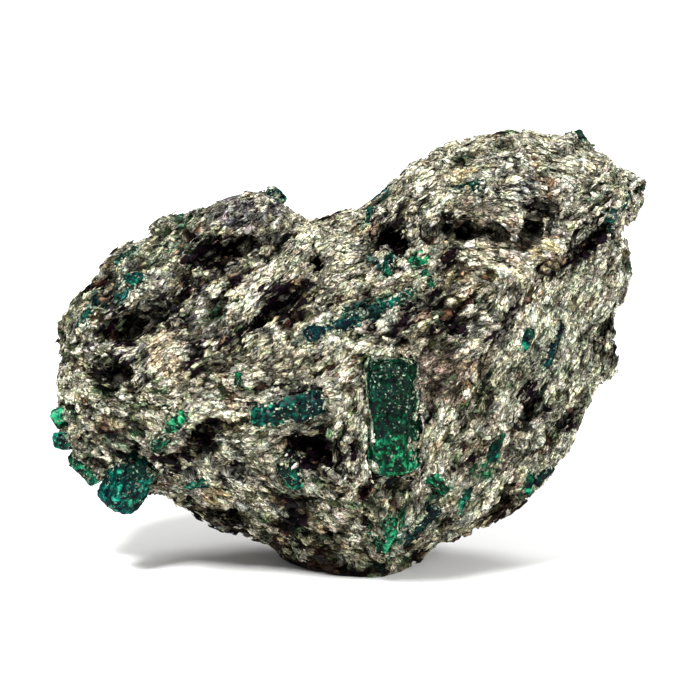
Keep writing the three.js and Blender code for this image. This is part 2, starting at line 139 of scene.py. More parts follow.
# Ground raised on the display face: a patch of the same kind, and the height in millimetres, negative where
# it is sunk.
landforms = [
    ((-13.5, 46.6), (7, 2.8), 14, 1), ((-6.6, 43), (3.4, 3.4), 30, 0.8),
    ((-1.4, 42.2), (4.2, 2.6), 58, 1), ((-27, 44), (8, 2.6), 38, 0.6),
    ((-24.8, 28.4), (2.6, 3.6), 20, 0.9), ((-9.3, 27.6), (5, 3), 0, 0.7), ((-28, 32), (6, 3), 24, -0.9),
    ((-31, 25.2), (5, 1.8), -14, -0.8), ((-22, 36.4), (5, 1.1), 36, -0.8),
    ((-24, 18.8), (3.6, 1.8), -10, 0.7), ((2, 36.6), (3.4, 1.5), 10, 0.8),
    ((7, 33.2), (7, 1.6), 24, -0.8), ((12, 50), (7, 4), 30, 0.8), ((25.8, 51), (5, 0.9), -66, -0.8),
    ((30.5, 51.5), (4.6, 3.2), 0, 0.8), ((28.6, 46.2), (3, 2), 10, -0.8),
    ((26, 41.4), (2.6, 1.5), -10, 1), ((19.2, 44.2), (1.8, 1.4), 20, -0.7),
    ((17.2, 43.4), (1.5, 1.5), 30, 1.3), ((13.6, 44.4), (1, 0.8), 0, 0.8), ((-17, 41), (1.4, 1), 30, 0.8),
    ((21.4, 39.6), (4.4, 1.6), -42, 0.8), ((21.8, 33.2), (6, 1), 54, -1),
    ((19.6, 32.6), (6, 1.1), 58, 0.8), ((15.6, 14), (2.6, 2.2), 0, -0.7),
    ((-20, 15.6), (2.4, 2.6), 0, -1), ((-18.4, 13.2), (1.8, 1.5), 20, 0.9),
    ((-17.8, 8.8), (2, 1.4), -10, 0.8), ((36.5, 43.5), (3.2, 1.3), 30, -1.4),
    ((37.5, 30.5), (2.6, 1.2), 55, -1.2),
]


def hashed(ix, iy, iz, seed):
    n = ix * 73856093 ^ iy * 19349663 ^ iz * 83492791 ^ seed * 2654435
    n = (n ^ n >> 13) * 1274126177 & 0xFFFFFFFF
    return ((n ^ n >> 16) & 0xFFFFFF) / 0xFFFFFF


def softNoise(points, seed):
    # Smooth noise, about -1 to 1.
    cell = np.floor(points).astype(np.int64)
    t = points - cell
    t = t * t * (3 - 2 * t)
    total = np.zeros(len(points))
    for corner in range(8):
        step = np.array([corner & 1, corner >> 1 & 1, corner >> 2 & 1])
        weight = np.prod(np.where(step, t, 1 - t), axis=1)
        total += weight * hashed(*(cell + step).T, seed)
    return total * 2 - 1


def grainNoise(points, grain, seed):
    # Smooth noise with grains of that many millimetres.
    return softNoise(points / (grain * mm), seed)


def cellNoise(points, seed):
    # Distances to the nearest and second nearest grain, and a number from 0 to 1 for the nearest.
    cell = np.floor(points).astype(np.int64)
    near = np.full(len(points), 9.0)
    second = near.copy()
    tone = np.zeros(len(points))
    for step in np.ndindex(3, 3, 3):
        grain = cell + np.array(step) - 1
        middle = grain + np.stack([hashed(*grain.T, seed + k) for k in (1, 2, 3)], axis=1)
        away = np.linalg.norm(points - middle, axis=1)
        closer = away < near
        second = np.where(closer, near, np.minimum(second, away))
        tone = np.where(closer, hashed(*grain.T, seed + 4), tone)
        near = np.where(closer, away, near)
    return near, second, tone


def smoothStep(low, high, value):
    t = np.clip((value - low) / (high - low), 0, 1)
    return t * t * (3 - 2 * t)


def unit(vectors):
    return vectors / np.maximum(np.linalg.norm(vectors, axis=-1, keepdims=True), 1e-12)


def onFace(points):
    return points @ faceAcross / mm, points @ faceUp / mm


def strongestRun(points):
    # The run of the layers at each point, with ragged borders between the blocks of layerRuns.
    across, up = onFace(points)
    scores = []
    for number, (place, _, reach) in enumerate(layerRuns):
        away = (across - place[0]) ** 2 + (up - place[1]) ** 2
        scores.append(-away / reach ** 2 + 0.35 * grainNoise(points, 2.5, 90 + number))
    runs = np.radians([run for _, run, _ in layerRuns])
    return runs[np.argmax(scores, axis=0)]


def squareTo(normals, vectors):
    # The part of each vector that is square to its normal, as a unit vector.
    return unit(vectors - (vectors * normals).sum(1)[:, None] * normals)


def alongLayers(normals, runs):
    # A direction on the surface that reads as the run when seen from the display side.
    run = np.cos(runs)[:, None] * faceAcross + np.sin(runs)[:, None] * faceUp
    out = normals @ faceOut
    out = np.where(out < 0, -1, 1) * np.maximum(np.abs(out), 0.35)
    return squareTo(normals, run - ((run * normals).sum(1) / out)[:, None] * faceOut)


def layerPlaces(points, runs, long, thin):
    # Places measured along the layers, across them and into the rock, so that noise read there is stretched.
    run = np.cos(runs)[:, None] * faceAcross + np.sin(runs)[:, None] * faceUp
    rise = -np.sin(runs)[:, None] * faceAcross + np.cos(runs)[:, None] * faceUp
    parts = [(points * run).sum(1) / long, (points * rise).sum(1) / thin, points @ faceOut / long]
    return np.stack(parts, axis=1)


def layerNoise(points, runs, long, thin, seed):
    # Smooth noise drawn out along the layers, long and thin in millimetres.
    return softNoise(layerPlaces(points, runs, long * mm, thin * mm), seed)


def overPatch(points, place, size, run):
    # How far each point is from the middle of a patch, with 1 at its edge.
    across, up = onFace(points)
    turn = math.radians(run)
    x, y = across - place[0], up - place[1]
    a = (x * math.cos(turn) + y * math.sin(turn)) / size[0]
    b = (y * math.cos(turn) - x * math.sin(turn)) / size[1]
    return np.hypot(a, b)


def micaColour(points, runs, tone, uneven=0.0):
    # The colour of schist at each point. tone, from 0 to 1, picks dark or pale mica, and uneven makes single
    # flakes keep in or out of the patches. Biotite patches break up more than the others.
    broken = {"biotite": 1.5}
    steps = [
        (0.0, "biotite"), (0.14, "biotite"), (0.26, "brown"), (0.38, "olive"), (0.49, "grey"),
        (0.60, "beige"), (0.74, "pale"), (1.0, "white"),
    ]
    stops = [stop for stop, _ in steps]
    colours = np.array([micaColours[name] for _, name in steps])
    colour = np.stack([np.interp(tone, stops, colours[:, k]) for k in range(3)], axis=1)
    # Dark and middling mica drifts towards green in some places and maroon in others.
    hue = grainNoise(points, 1.9, 45) + 0.6 * grainNoise(points, 0.7, 46)
    dull = smoothStep(0.75, 0.35, tone)
    greener = (0.75 * smoothStep(0.1, 0.6, hue) * dull)[:, None]
    redder = (0.7 * smoothStep(0.1, 0.6, -hue) * dull)[:, None]
    colour = colour * (1 - greener) + (colour * [0.45, 1.25, 0.95] + [0.0, 0.010, 0.006]) * greener
    colour = colour * (1 - redder) + (colour * [1.5, 0.75, 0.85] + [0.006, 0.0, 0.001]) * redder
    display = smoothStep(-0.012, 0.0, points @ faceOut)
    ragged = 0.30 * grainNoise(points, 1.3, 40) + 0.25 * grainNoise(points, 3.1, 41)
    streaks = layerNoise(points, runs, 1.5, 0.45, 42)
    streaks += 0.5 * grainNoise(points, 0.6, 44) + uneven
    shade = np.clip(0.45 + 1.0 * tone, 0.3, 1.4)[:, None]
    for name, place, size, run, share in colourPatches:
        inside = smoothStep(1.6, 0.3, overPatch(points, place, size, run) + ragged) * share * display
        cover = smoothStep(0.36, 0.66, inside * (1 + broken.get(name, 0.9) * streaks))[:, None]
        colour = colour * (1 - cover) + np.array(micaColours[name]) * shade * cover
    # The back is darker and paler in broad patches of its own.
    broad = grainNoise(points, 9, 43) * (1 - display)
    colour *= (1 + 0.35 * broad)[:, None]
    return colour


def schistTone(points, runs):
    # How pale the schist is, from 0 to 1, in streaks along the layers.
    wide = layerNoise(points, runs, 6, 1.9, 60)
    streaks = layerNoise(points, runs, 2.6, 0.75, 61)
    spots = grainNoise(points, 1.1, 62)
    seams = smoothStep(0.2, 0.48, layerNoise(points, runs, 3.2, 0.8, 63))
    across, up = onFace(points)
    paler = 0.2 * smoothStep(13, 24, across) + 0.13 * smoothStep(42, 48, up) * smoothStep(0, 8, across)
    paler += 0.16 * smoothStep(38, 43, up) * smoothStep(-4, -9, across)
    return np.clip(0.75 + paler + 0.34 * wide + 0.32 * streaks + 0.22 * spots - 0.48 * seams, 0, 1)


def calmness(points):
    # Where the schist is smooth and soft, from 0 to 1, and not broken into flakes.
    noise = grainNoise(points, 3.4, 85) + 0.4 * grainNoise(points, 1.5, 86)
    return smoothStep(-0.12, 0.32, noise)


def insideBox(points):
    # Nothing stands outside the box of the CAD model.
    low, high = np.array(cadBox[0]), np.array(cadBox[1])
    return np.clip(points, low, high)


def makeActive(piece):
    bpy.ops.object.select_all(action="DESELECT")
    piece.select_set(True)
    bpy.context.view_layer.objects.active = piece


def newObject(name, data):
    made = bpy.data.objects.new(name, data)
    bpy.context.scene.collection.objects.link(made)
    return made


def copyOfNode(node, name):
    # A copy of a CAD node with its loose triangles joined up, at the origin.
    piece = newObject(name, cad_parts[node].data.copy())
    piece.data.materials.clear()
    makeActive(piece)
    bpy.ops.object.mode_set(mode="EDIT")
    bpy.ops.mesh.select_all(action="SELECT")
    bpy.ops.mesh.remove_doubles(threshold=1e-6)
    bpy.ops.object.mode_set(mode="OBJECT")
    return piece


def applyModifier(piece, kind, **settings):
    makeActive(piece)
    modifier = piece.modifiers.new(kind.title(), kind)
    for key, value in settings.items():
        setattr(modifier, key, value)
    bpy.ops.object.modifier_apply(modifier=modifier.name)


def pointsOf(piece, kind="co"):
    points = np.empty(len(piece.data.vertices) * 3)
    piece.data.vertices.foreach_get(kind, points)
    return points.reshape(-1, 3)


def normalsOf(piece):
    return pointsOf(piece, "normal")


def movePoints(piece, points):
    piece.data.vertices.foreach_set("co", points.astype(np.float32).ravel())
    piece.data.update()


def paint(piece, name, colours):
    # Colours kept on the vertices, for the material to read. A fourth channel is how calm the markings are.
    layer = piece.data.color_attributes.new(name, "FLOAT_COLOR", "POINT")
    rgba = np.full((len(colours), 4), 0.4, np.float32)
    rgba[:, : colours.shape[1]] = colours
    layer.data.foreach_set("color", rgba.ravel())


def keepPlaces(piece, places):
    # Where each vertex lies in the layers, in millimetres, for the material to read.
    layer = piece.data.attributes.new("layerPlace", "FLOAT_VECTOR", "POINT")
    layer.data.foreach_set("vector", places.astype(np.float32).ravel())


def smoothShade(piece):
    piece.data.polygons.foreach_set("use_smooth", [True] * len(piece.data.polygons))


def trianglesOf(piece):
    piece.data.calc_loop_triangles()
    corners = np.empty(len(piece.data.loop_triangles) * 3, np.int64)
    piece.data.loop_triangles.foreach_get("vertices", corners)
    return corners.reshape(-1, 3)


def triangleAreas(piece):
    points, triangles = pointsOf(piece), trianglesOf(piece)
    a, b, c = (points[triangles[:, k]] for k in range(3))
    return np.linalg.norm(np.cross(b - a, c - a), axis=1) / 2


def scatter(piece, normals, count, rng):
    # Random places spread evenly over a piece: the corners and shares they came from, and their points and
    # normals.
    points, triangles, areas = pointsOf(piece), trianglesOf(piece), triangleAreas(piece)
    chosen = triangles[rng.choice(len(triangles), count, p=areas / areas.sum())]
    s, t = rng.random(count), rng.random(count)
    over = s + t > 1
    s, t = np.where(over, 1 - s, s), np.where(over, 1 - t, t)
    shares = np.stack([1 - s - t, s, t], axis=1)[:, :, None]
    return chosen, shares, blend(points, chosen, shares), unit(blend(normals, chosen, shares))


def blend(values, corners, shares):
    # Vertex values carried over to scattered places.
    return (values.reshape(len(values), -1)[corners] * shares).sum(1)


def treeOf(piece):
    return BVHTree.FromPolygons(pointsOf(piece).tolist(), trianglesOf(piece).tolist())


def openSky(piece, reach, rng):
    # The share of the sky that each vertex sees past the ground close by, from 0 to 1.
    points, normals = pointsOf(piece), normalsOf(piece)
    tree = treeOf(piece)
    rays = 9
    seen = np.zeros(len(points))
    for ray in range(rays):
        height = math.sqrt((ray + 0.5) / rays)
        turn = rng.random(len(points)) * 2 * math.pi
        side = unit(np.cross(normals, unit(rng.normal(size=points.shape))))
        other = np.cross(normals, side)
        ways = normals * height
        ways += (side * np.cos(turn)[:, None] + other * np.sin(turn)[:, None]) * math.sqrt(1 - height ** 2)
        seen += meetsNothing(tree, points + normals * 0.03 * mm, ways, reach)
    return seen / rays


def meetsNothing(tree, starts, ways, reach):
    rays = zip(starts.tolist(), ways.tolist())
    return np.array([tree.ray_cast(start, way, reach)[0] is None for start, way in rays])


def standsFree(points, normals):
    # Whether each point looks out past the rock, and isn't shut in a socket.
    return meetsNothing(rockTree, points + normals * 0.02 * mm, normals, 6 * mm)


# Crystals: glow is how bright the green is at the lower and upper end of the long axis, from 0 near black
# to 1 bright emerald. blue turns it towards teal, crust is how much mica is stuck to it, worn is how rounded
# its edges are, and domed is how much its upper end narrows. plainLook holds for whatever isn't named.
crystalLook = {
    "emerald_main_prism": {"glow": (0.62, 0.13), "blue": 0.08, "crust": 0.6, "worn": 12, "domed": 0.1},
    "emerald_centre_prism": {"glow": (0.5, 0.16), "blue": 0.6, "crust": 0.8, "worn": 14},
    "emerald_lower_prism": {"glow": (0.75, 0.2), "blue": 0.4, "crust": 0.5, "worn": 20},
    "emerald_corner_stub": {"glow": (0.5, 0.34), "blue": 0.65, "crust": 1.0, "worn": 70},
    "emerald_edge_upper": {"glow": (0.75, 0.9), "blue": 0.15, "crust": 1.0, "worn": 30},
    "emerald_edge_middle": {"glow": (0.5, 0.45), "blue": 0.5, "crust": 1.0, "worn": 24},
    "emerald_edge_lower": {"glow": (0.6, 0.55), "blue": 0.45, "crust": 1.0, "worn": 30},
    "emerald_left_bright": {"glow": (0.75, 0.85), "blue": 0.1, "crust": 0.4},
    "emerald_left_crusted": {"glow": (0.5, 0.7), "blue": 0.3, "crust": 0.7},
    "emerald_underside_sliver": {"glow": (0.4, 0.4), "blue": 0.4, "crust": 0.5},
    "emerald_small_grain": {"glow": (0.5, 0.6), "blue": 0.2, "crust": 0.4},
    "emerald_foot_bright": {"glow": (0.85, 0.75), "blue": 0.1, "crust": 0.4, "worn": 20},
    "emerald_foot_dark": {"glow": (0.15, 0.1), "blue": 0.8, "crust": 0.3, "worn": 20},
    "emerald_below_main": {"glow": (0.6, 0.8), "blue": 0.1, "crust": 0.3},
    "emerald_right_foot": {"glow": (0.6, 0.4), "blue": 0.2, "crust": 0.5},
    "emerald_right_lower": {"glow": (0.45, 0.3), "blue": 0.4, "crust": 0.6},
    "emerald_edge_bright": {"glow": (0.9, 0.5), "blue": 0.2, "crust": 0.3},
    "emerald_edge_dark": {"glow": (0.2, 0.1), "blue": 0.6, "crust": 0.3},
    "emerald_side_green": {"glow": (0.5, 0.3), "blue": 0.3, "crust": 0.3},
    "emerald_side_long": {"glow": (0.35, 0.05), "blue": 0.9, "crust": 0.3},
    "emerald_saddle_bright": {"glow": (0.9, 1.0), "blue": 0.0, "crust": 0.3},
    "emerald_saddle_green": {"glow": (0.5, 0.4), "blue": 0.1, "crust": 0.4},
    "emerald_saddle_dark": {"glow": (0.4, 0.2), "blue": 0.3, "crust": 0.6},
    "emerald_band_right": {"glow": (0.45, 0.6), "blue": 0.6, "crust": 0.8},
    "emerald_band_left": {"glow": (0.25, 0.2), "blue": 0.85, "crust": 1.0},
    "emerald_hump_eye": {"glow": (0.3, 0.2), "blue": 0.4, "crust": 0.8},
    "emerald_back_prism": {"glow": (0.6, 0.2), "blue": 0.4, "crust": 0.6},
}
plainLook = {"glow": (0.45, 0.3), "blue": 0.45, "crust": 0.6, "worn": 9, "domed": 0.25}


def lookOf(node):
    return {**plainLook, **crystalLook.get(node, {})}


def longAxis(points):
    middle = points.mean(0)
    _, _, axes = np.linalg.svd(points - middle, full_matrices=False)
    axis = axes[0] if axes[0] @ (faceAcross * 0.4 + faceUp) > 0 else -axes[0]
    along = (points - middle) @ axis
    return axis, (along - along.min()) / np.ptp(along)


socketTree = treeOf(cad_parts["mica_schist_matrix"])


def makeCrystal(node, number):
    shape = {
        "finest": 0.13 * mm, "coarsest": 0.23 * mm, "rib": 0.06 * mm, "chip": 0.24 * mm, "swell": 0.3 * mm,
        "grain": 0.06 * mm,
    }
    look = lookOf(node)
    piece = copyOfNode(node, node + "_grown")
    voxel = min(max(min(piece.dimensions) / 17, shape["finest"]), shape["coarsest"])
    applyModifier(piece, "REMESH", mode="VOXEL", voxel_size=voxel)
    applyModifier(piece, "SMOOTH", factor=0.5, iterations=look["worn"])
    points, normals = pointsOf(piece), normalsOf(piece)
    axis, along = longAxis(points)
    # The upper end is rounded off by wear.
    middle = points.mean(0)
    spine = middle + ((points - middle) @ axis)[:, None] * axis
    points = spine + (points - spine) * (1 - look["domed"] * smoothStep(0.72, 1.0, along) ** 2)[:, None]
    # Ribs run along the crystal, and flat chips and pits lie all over it.
    squeezed = points - (points @ axis)[:, None] * axis * 0.8
    ribs = grainNoise(squeezed, 0.42, 10 + number)
    grains = grainNoise(points, 0.5, 70 + number)
    swell = grainNoise(points, 2.2, 120 + number)
    _, _, chips = cellNoise(squeezed / (0.9 * mm), 200 + number)
    _, _, flecks = cellNoise(points / (0.62 * mm), 300 + number)
    height = shape["rib"] * ribs + shape["chip"] * (chips - 0.6) + shape["swell"] * (swell - 0.3)
    height += shape["grain"] * grains
    movePoints(piece, insideBox(points + normals * height[:, None]))
    applyModifier(piece, "SMOOTH", factor=0.35, iterations=1)
    glow = np.interp(along, [0, 0.22, 0.42, 1], np.interp([0, 0.1, 0.75, 1], [0, 1], look["glow"]))
    mottle = 0.5 * (chips - 0.5) + 0.45 * (flecks - 0.5) + 0.25 * swell
    glow = np.clip(glow * (1 + 1.3 * mottle) + 0.10 * mottle, 0, 1)
    glow *= np.where(flecks < 0.28, 0.3, 1)
    blue = look["blue"] + 0.35 * swell + 0.2 * (chips - 0.5)
    # Mica clings in wisps, most of all round the rim of the socket.
    rimAway = np.array([socketTree.find_nearest(point)[3] for point in points.tolist()])
    cling = grainNoise(squeezed, 0.7, 400 + number)
    cling += 0.6 * grainNoise(points, 0.26, 440 + number)
    cling += 0.7 * grainNoise(points, 1.8, 480 + number)
    cling += 1.5 * smoothStep(1.3 * mm, 0.3 * mm, rimAway) - 2.0 + 0.6 * look["crust"]
    crust = 0.85 * smoothStep(0.0, 0.35, cling)
    paint(piece, "crystalTint", np.stack([glow, np.clip(blue, 0, 1), crust], axis=1))
    keepPlaces(piece, points / mm)
    smoothShade(piece)
    return piece


print("crystals")
crystals = {}
for number, node in enumerate(sorted(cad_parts)):
    if node.startswith("emerald_"):
        crystals[node] = makeCrystal(node, number)

crystalPoints = np.concatenate([pointsOf(piece) for piece in crystals.values()])
crystalTree = kdtree.KDTree(len(crystalPoints))
for index, point in enumerate(crystalPoints):
    crystalTree.insert(point, index)
crystalTree.balance()


def crystalDistance(points):
    return np.array([crystalTree.find(point)[2] for point in points])


def makeRock():
    shape = {
        "voxel": 0.465 * mm, "swell": 0.4 * mm, "ledge": 0.55 * mm, "nodule": 1.3 * mm, "grain": 0.12 * mm,
        "sunk": 0.65 * mm, "lip": 0.62 * mm, "lowRim": ((5.4, 15.6), (5.6, 4.2), 0), "lowered": 0.85 * mm,
        "skyReach": 3.2 * mm,
    }
    piece = copyOfNode("mica_schist_matrix", "mica_schist_matrix_rough")
    applyModifier(piece, "REMESH", mode="VOXEL", voxel_size=shape["voxel"])
    applyModifier(piece, "SMOOTH", factor=0.5, iterations=4)
    points, normals = pointsOf(piece), normalsOf(piece)
    runs = strongestRun(points)
    swell = grainNoise(points, 5.5, 1) + 0.5 * grainNoise(points, 2.6, 2)
    sheets = layerNoise(points, runs, 5.5, 1.1, 3)
    sheets = np.tanh(2.2 * sheets) * 0.8 + 0.6 * layerNoise(points, runs, 2.6, 0.6, 4)
    warp = 0.35 * np.stack([grainNoise(points, 1.7, 20 + k) for k in range(3)], axis=1)
    near, second, blockTone = cellNoise(layerPlaces(points, runs, 3.4 * mm, 1.9 * mm) + warp, 5)
    gap = smoothStep(0.02, 0.34, second - near)
    parted = smoothStep(-0.3, 0.3, grainNoise(points, 4.2, 30) + 0.2)
    gap = 1 - (1 - gap) * parted
    grains = grainNoise(points, 0.55, 6)
    away = crystalDistance(points)
    free = smoothStep(0.3 * mm, 1.6 * mm, away)
    seat = smoothStep(0.0, 1.5 * mm, points[:, 2])
    height = shape["swell"] * swell + shape["ledge"] * sheets - shape["sunk"]
    height += shape["nodule"] * (gap * (0.4 + 0.6 * blockTone) - 0.55) + shape["grain"] * grains
    display = smoothStep(-0.004, 0.004, points @ faceOut)
    for place, size, run, raised in landforms:
        inside = smoothStep(1.25, 0.35, overPatch(points, place, size, run) + 0.2 * swell)
        height += display * raised * mm * inside
    lip = shape["lip"] * (0.75 + 0.8 * grainNoise(points, 1.1, 31))
    lip -= shape["lowered"] * display * smoothStep(1.3, 0.7, overPatch(points, *shape["lowRim"]))
    height = (height * free + lip * (1 - free)) * seat
    movePoints(piece, insideBox(points + normals * height[:, None]))
    sky = openSky(piece, shape["skyReach"], np.random.default_rng(3))
    tone = schistTone(points, runs) + 0.26 * (blockTone - 0.5) + 0.10 * sheets
    tone = np.clip(tone + 0.3 * smoothStep(1.9 * mm, 0.6 * mm, away), 0, 1)
    colour = micaColour(points, runs, tone)
    # Painted shade: the colour is darkened in the sunk gaps between blocks and where little sky is seen past
    # the rock close by, and less of it is painted near the crystals.
    depth = (0.15 + 0.85 * gap) * (0.1 + 0.9 * smoothStep(0.1, 0.65, sky))
    depth = np.maximum(depth, 0.7 * smoothStep(1.3 * mm, 0.5 * mm, away))
    # Some places keep a smooth top, and flakes lie only round them.
    smooth = calmness(points) * gap * smoothStep(0.3, 0.8, sky)
    paint(piece, "schistTintAndShade", np.concatenate([colour * depth[:, None], smooth[:, None]], axis=1))
    keepPlaces(piece, layerPlaces(points, runs, mm, mm))
    smoothShade(piece)
    return piece, normals, runs, depth, smooth


print("rock")
rock, rockNormals, rockRuns, rockPaintedShade, rockSmooth = makeRock()
rockTree = treeOf(rock)


# Flakes are scales or leaves. rings go from top to bottom: how far out each is, its height in thicknesses,
# and how pale it is painted. That paleness is painted shade: the rim and the underside are darker than the
# top. clear is the least and greatest distance kept from crystals and thick the thickness, in
# millimetres like longest and widest. lying is the tilt in degrees and how much it varies, uneven how much
# the patches break up from flake to flake, and dark the share of flakes that are dark.
flakeKinds = {
    "scale": {
        "rings": [(0.0, 0.7, 1.05), (1.0, 0.0, 0.85), (0.0, -0.5, 0.5)], "clear": (0.1, 0.6),
        "thick": (0.05, 0.13), "longest": 1.7, "widest": 1.5, "lying": (11, 9), "uneven": 0.22, "dark": 0.06,
    },
    "leaf": {
        "rings": [(0.0, 0.55, 1.0), (0.7, 0.5, 1.05), (1.0, -0.1, 0.5), (0.0, -0.5, 0.4)],
        "clear": (0.8, 1.4), "thick": (0.12, 0.3), "longest": 9.0, "widest": 9.0, "lying": (8, 7),
        "uneven": 0.02, "dark": 0.0,
    },
}


def layFlakes(name, places, along, facing, sizes, colours, rng, kind="scale", corners=5, runs=None):
    # One joined mesh of thin closed plates, each with an outline, a bend and a UV square of its own. sizes
    # holds the length, width and thickness of each. With runs, the markings go on from flake to flake.
    count = len(places)
    rings = flakeKinds[kind]["rings"]
    lengths, widths, thicknesses = sizes
    across = np.cross(facing, along)
    angles = (np.arange(corners) + rng.uniform(-0.38, 0.38, (count, corners))) * 2 * math.pi / corners
    reach = rng.uniform(0.3, 0.62, (count, corners))
    outline = np.stack([reach * np.cos(angles), reach * np.sin(angles)], axis=2)
    bend = rng.uniform(-0.2, 0.35, count)
    twist = rng.uniform(-0.4, 0.4, count)
    rimShade = rng.uniform(0.7, 1.2, count)
    points, flat, shades = [], [], []
    for inset, level, shade in rings:
        pole = inset == 0
        x, y = rng.uniform(-0.08, 0.08, (2, count, 1)) if pole else np.moveaxis(outline * inset, 2, 0)
        lift = (bend[:, None] * (x * x - 0.1) + twist[:, None] * x * y) * lengths[:, None]
        lift = lift + (level + (0 if pole else rng.uniform(-0.3, 0.3, x.shape))) * thicknesses[:, None]
        ring = places[:, None] + along[:, None] * (x * lengths[:, None])[:, :, None]
        ring = ring + across[:, None] * (y * widths[:, None])[:, :, None] + facing[:, None] * lift[:, :, None]
        points.append(ring)
        flat.append(np.stack([x * lengths[:, None] / mm, y * widths[:, None] / mm, 0 * x + level], axis=2))
        shades.append(np.where(inset == 1, shade * rimShade[:, None], shade) + 0 * x)
    points = insideBox(np.concatenate(points, axis=1).reshape(-1, 3))
    faces = flakeFaces(len(rings), corners)
    each = 2 + (len(rings) - 2) * corners
    loops = np.concatenate([np.array(face) for face in faces])
    everyLoop = (np.arange(count)[:, None] * each + loops[None]).ravel()
    everySize = np.tile([len(face) for face in faces], count)
    starts = np.concatenate([[0], np.cumsum(everySize)[:-1]])
    mesh = bpy.data.meshes.new(name)
    mesh.vertices.add(len(points))
    mesh.vertices.foreach_set("co", points.astype(np.float32).ravel())
    mesh.loops.add(len(everyLoop))
    mesh.loops.foreach_set("vertex_index", everyLoop.astype(np.int32))
    mesh.polygons.add(len(everySize))
    mesh.polygons.foreach_set("loop_start", starts.astype(np.int32))
    mesh.polygons.foreach_set("loop_total", everySize.astype(np.int32))
    mesh.update(calc_edges=True)
    piece = newObject(name, mesh)
    addFlakeMap(mesh, outline, rings, faces)
    # Painted shade: every vertex takes the paleness of its ring, so each flake is darker at its rim and
    # underneath.
    shades = np.concatenate(shades, axis=1).reshape(-1, 1)
    colours = np.repeat(colours, each, axis=0)
    colours[:, :3] *= shades
    paint(piece, "schistTintAndShade", colours)
    if runs is None:
        offsets = rng.uniform(0, 200, (count, 1, 3))
        keepPlaces(piece, (np.concatenate(flat, axis=1) + offsets).reshape(-1, 3))
    else:
        keepPlaces(piece, layerPlaces(points, np.repeat(runs, each), mm, mm))
    return piece


def flakeFaces(ringCount, corners):
    # Faces of one flake from top to bottom: a fan, bands between the rings, and a fan.
    steps = [(k, (k + 1) % corners) for k in range(corners)]
    last = 1 + (ringCount - 2) * corners
    faces = [[0, 1 + k, 1 + after] for k, after in steps]
    for a in range(1, last - corners, corners):
        faces += [[a + k, a + corners + k, a + corners + after, a + after] for k, after in steps]
    return faces + [[last, last - corners + after, last - corners + k] for k, after in steps]


def addFlakeMap(mesh, outline, rings, faces):
    # Each flake has a square, with its upper face on the left half and its under face on the right.
    count, corners, _ = outline.shape
    widest = max(range(len(rings)), key=lambda k: rings[k][0])
    side = math.ceil(math.sqrt(count))
    number = np.arange(count)
    corner = np.stack([number % side, number // side], axis=1) / side
    insets = [0] + [inset for inset, _, _ in rings[1:-1] for _ in range(corners)] + [0]
    local = np.zeros((count, sum(len(face) for face in faces), 2))
    place = 0
    for order, face in enumerate(faces):
        middle = [0.25 if order < corners * widest else 0.75, 0.5]
        for vertex in face:
            local[:, place] = outline[:, (vertex - 1) % corners] * insets[vertex] * [0.36, 0.72] + middle
            place += 1
    layer = mesh.uv_layers.new(name="OFBake")
    uv = corner[:, None] + local / side
    layer.data.foreach_set("uv", uv.astype(np.float32).ravel())


# Mica flakes: where they lie on the face, which side, how many corners, how many flakes, their usual length
# and width in millimetres, and the shares that stand on edge and that are drawn out into fibres.
flakeBed = {
    "across": (-99, 99), "up": (-99, 99), "front": True, "kind": "scale", "corners": 5, "onEdge": 0.3,
    "fibres": 0.25,
}
flakeBeds = {
    "mica_flakes_left": {"across": (-99, -8), "up": (0, 99), "count": 9500, "length": 1.0, "width": 0.5},
    "mica_flakes_middle": {"across": (-8, 14), "up": (0, 38), "count": 5400, "length": 0.85, "width": 0.5},
    "mica_flakes_hump": {"across": (-8, 99), "up": (38, 99), "count": 8400, "length": 1.0, "width": 0.5},
    "mica_flakes_right": {
        "across": (14, 99), "up": (0, 38), "count": 5600, "length": 1.25, "width": 0.45, "onEdge": 0.35,
        "fibres": 0.4,
    },
    "mica_flakes_back": {"front": False, "count": 9000, "length": 1.3, "width": 0.65, "fibres": 0.2},
    "mica_leaves_front": {
        "kind": "leaf", "corners": 7, "count": 1500, "length": 2.0, "width": 1.2, "onEdge": 0.12,
        "fibres": 0.0,
    },
    "mica_leaves_back": {
        "front": False, "kind": "leaf", "corners": 6, "count": 900, "length": 2.4, "width": 1.5,
        "onEdge": 0.12, "fibres": 0.0,
    },
}


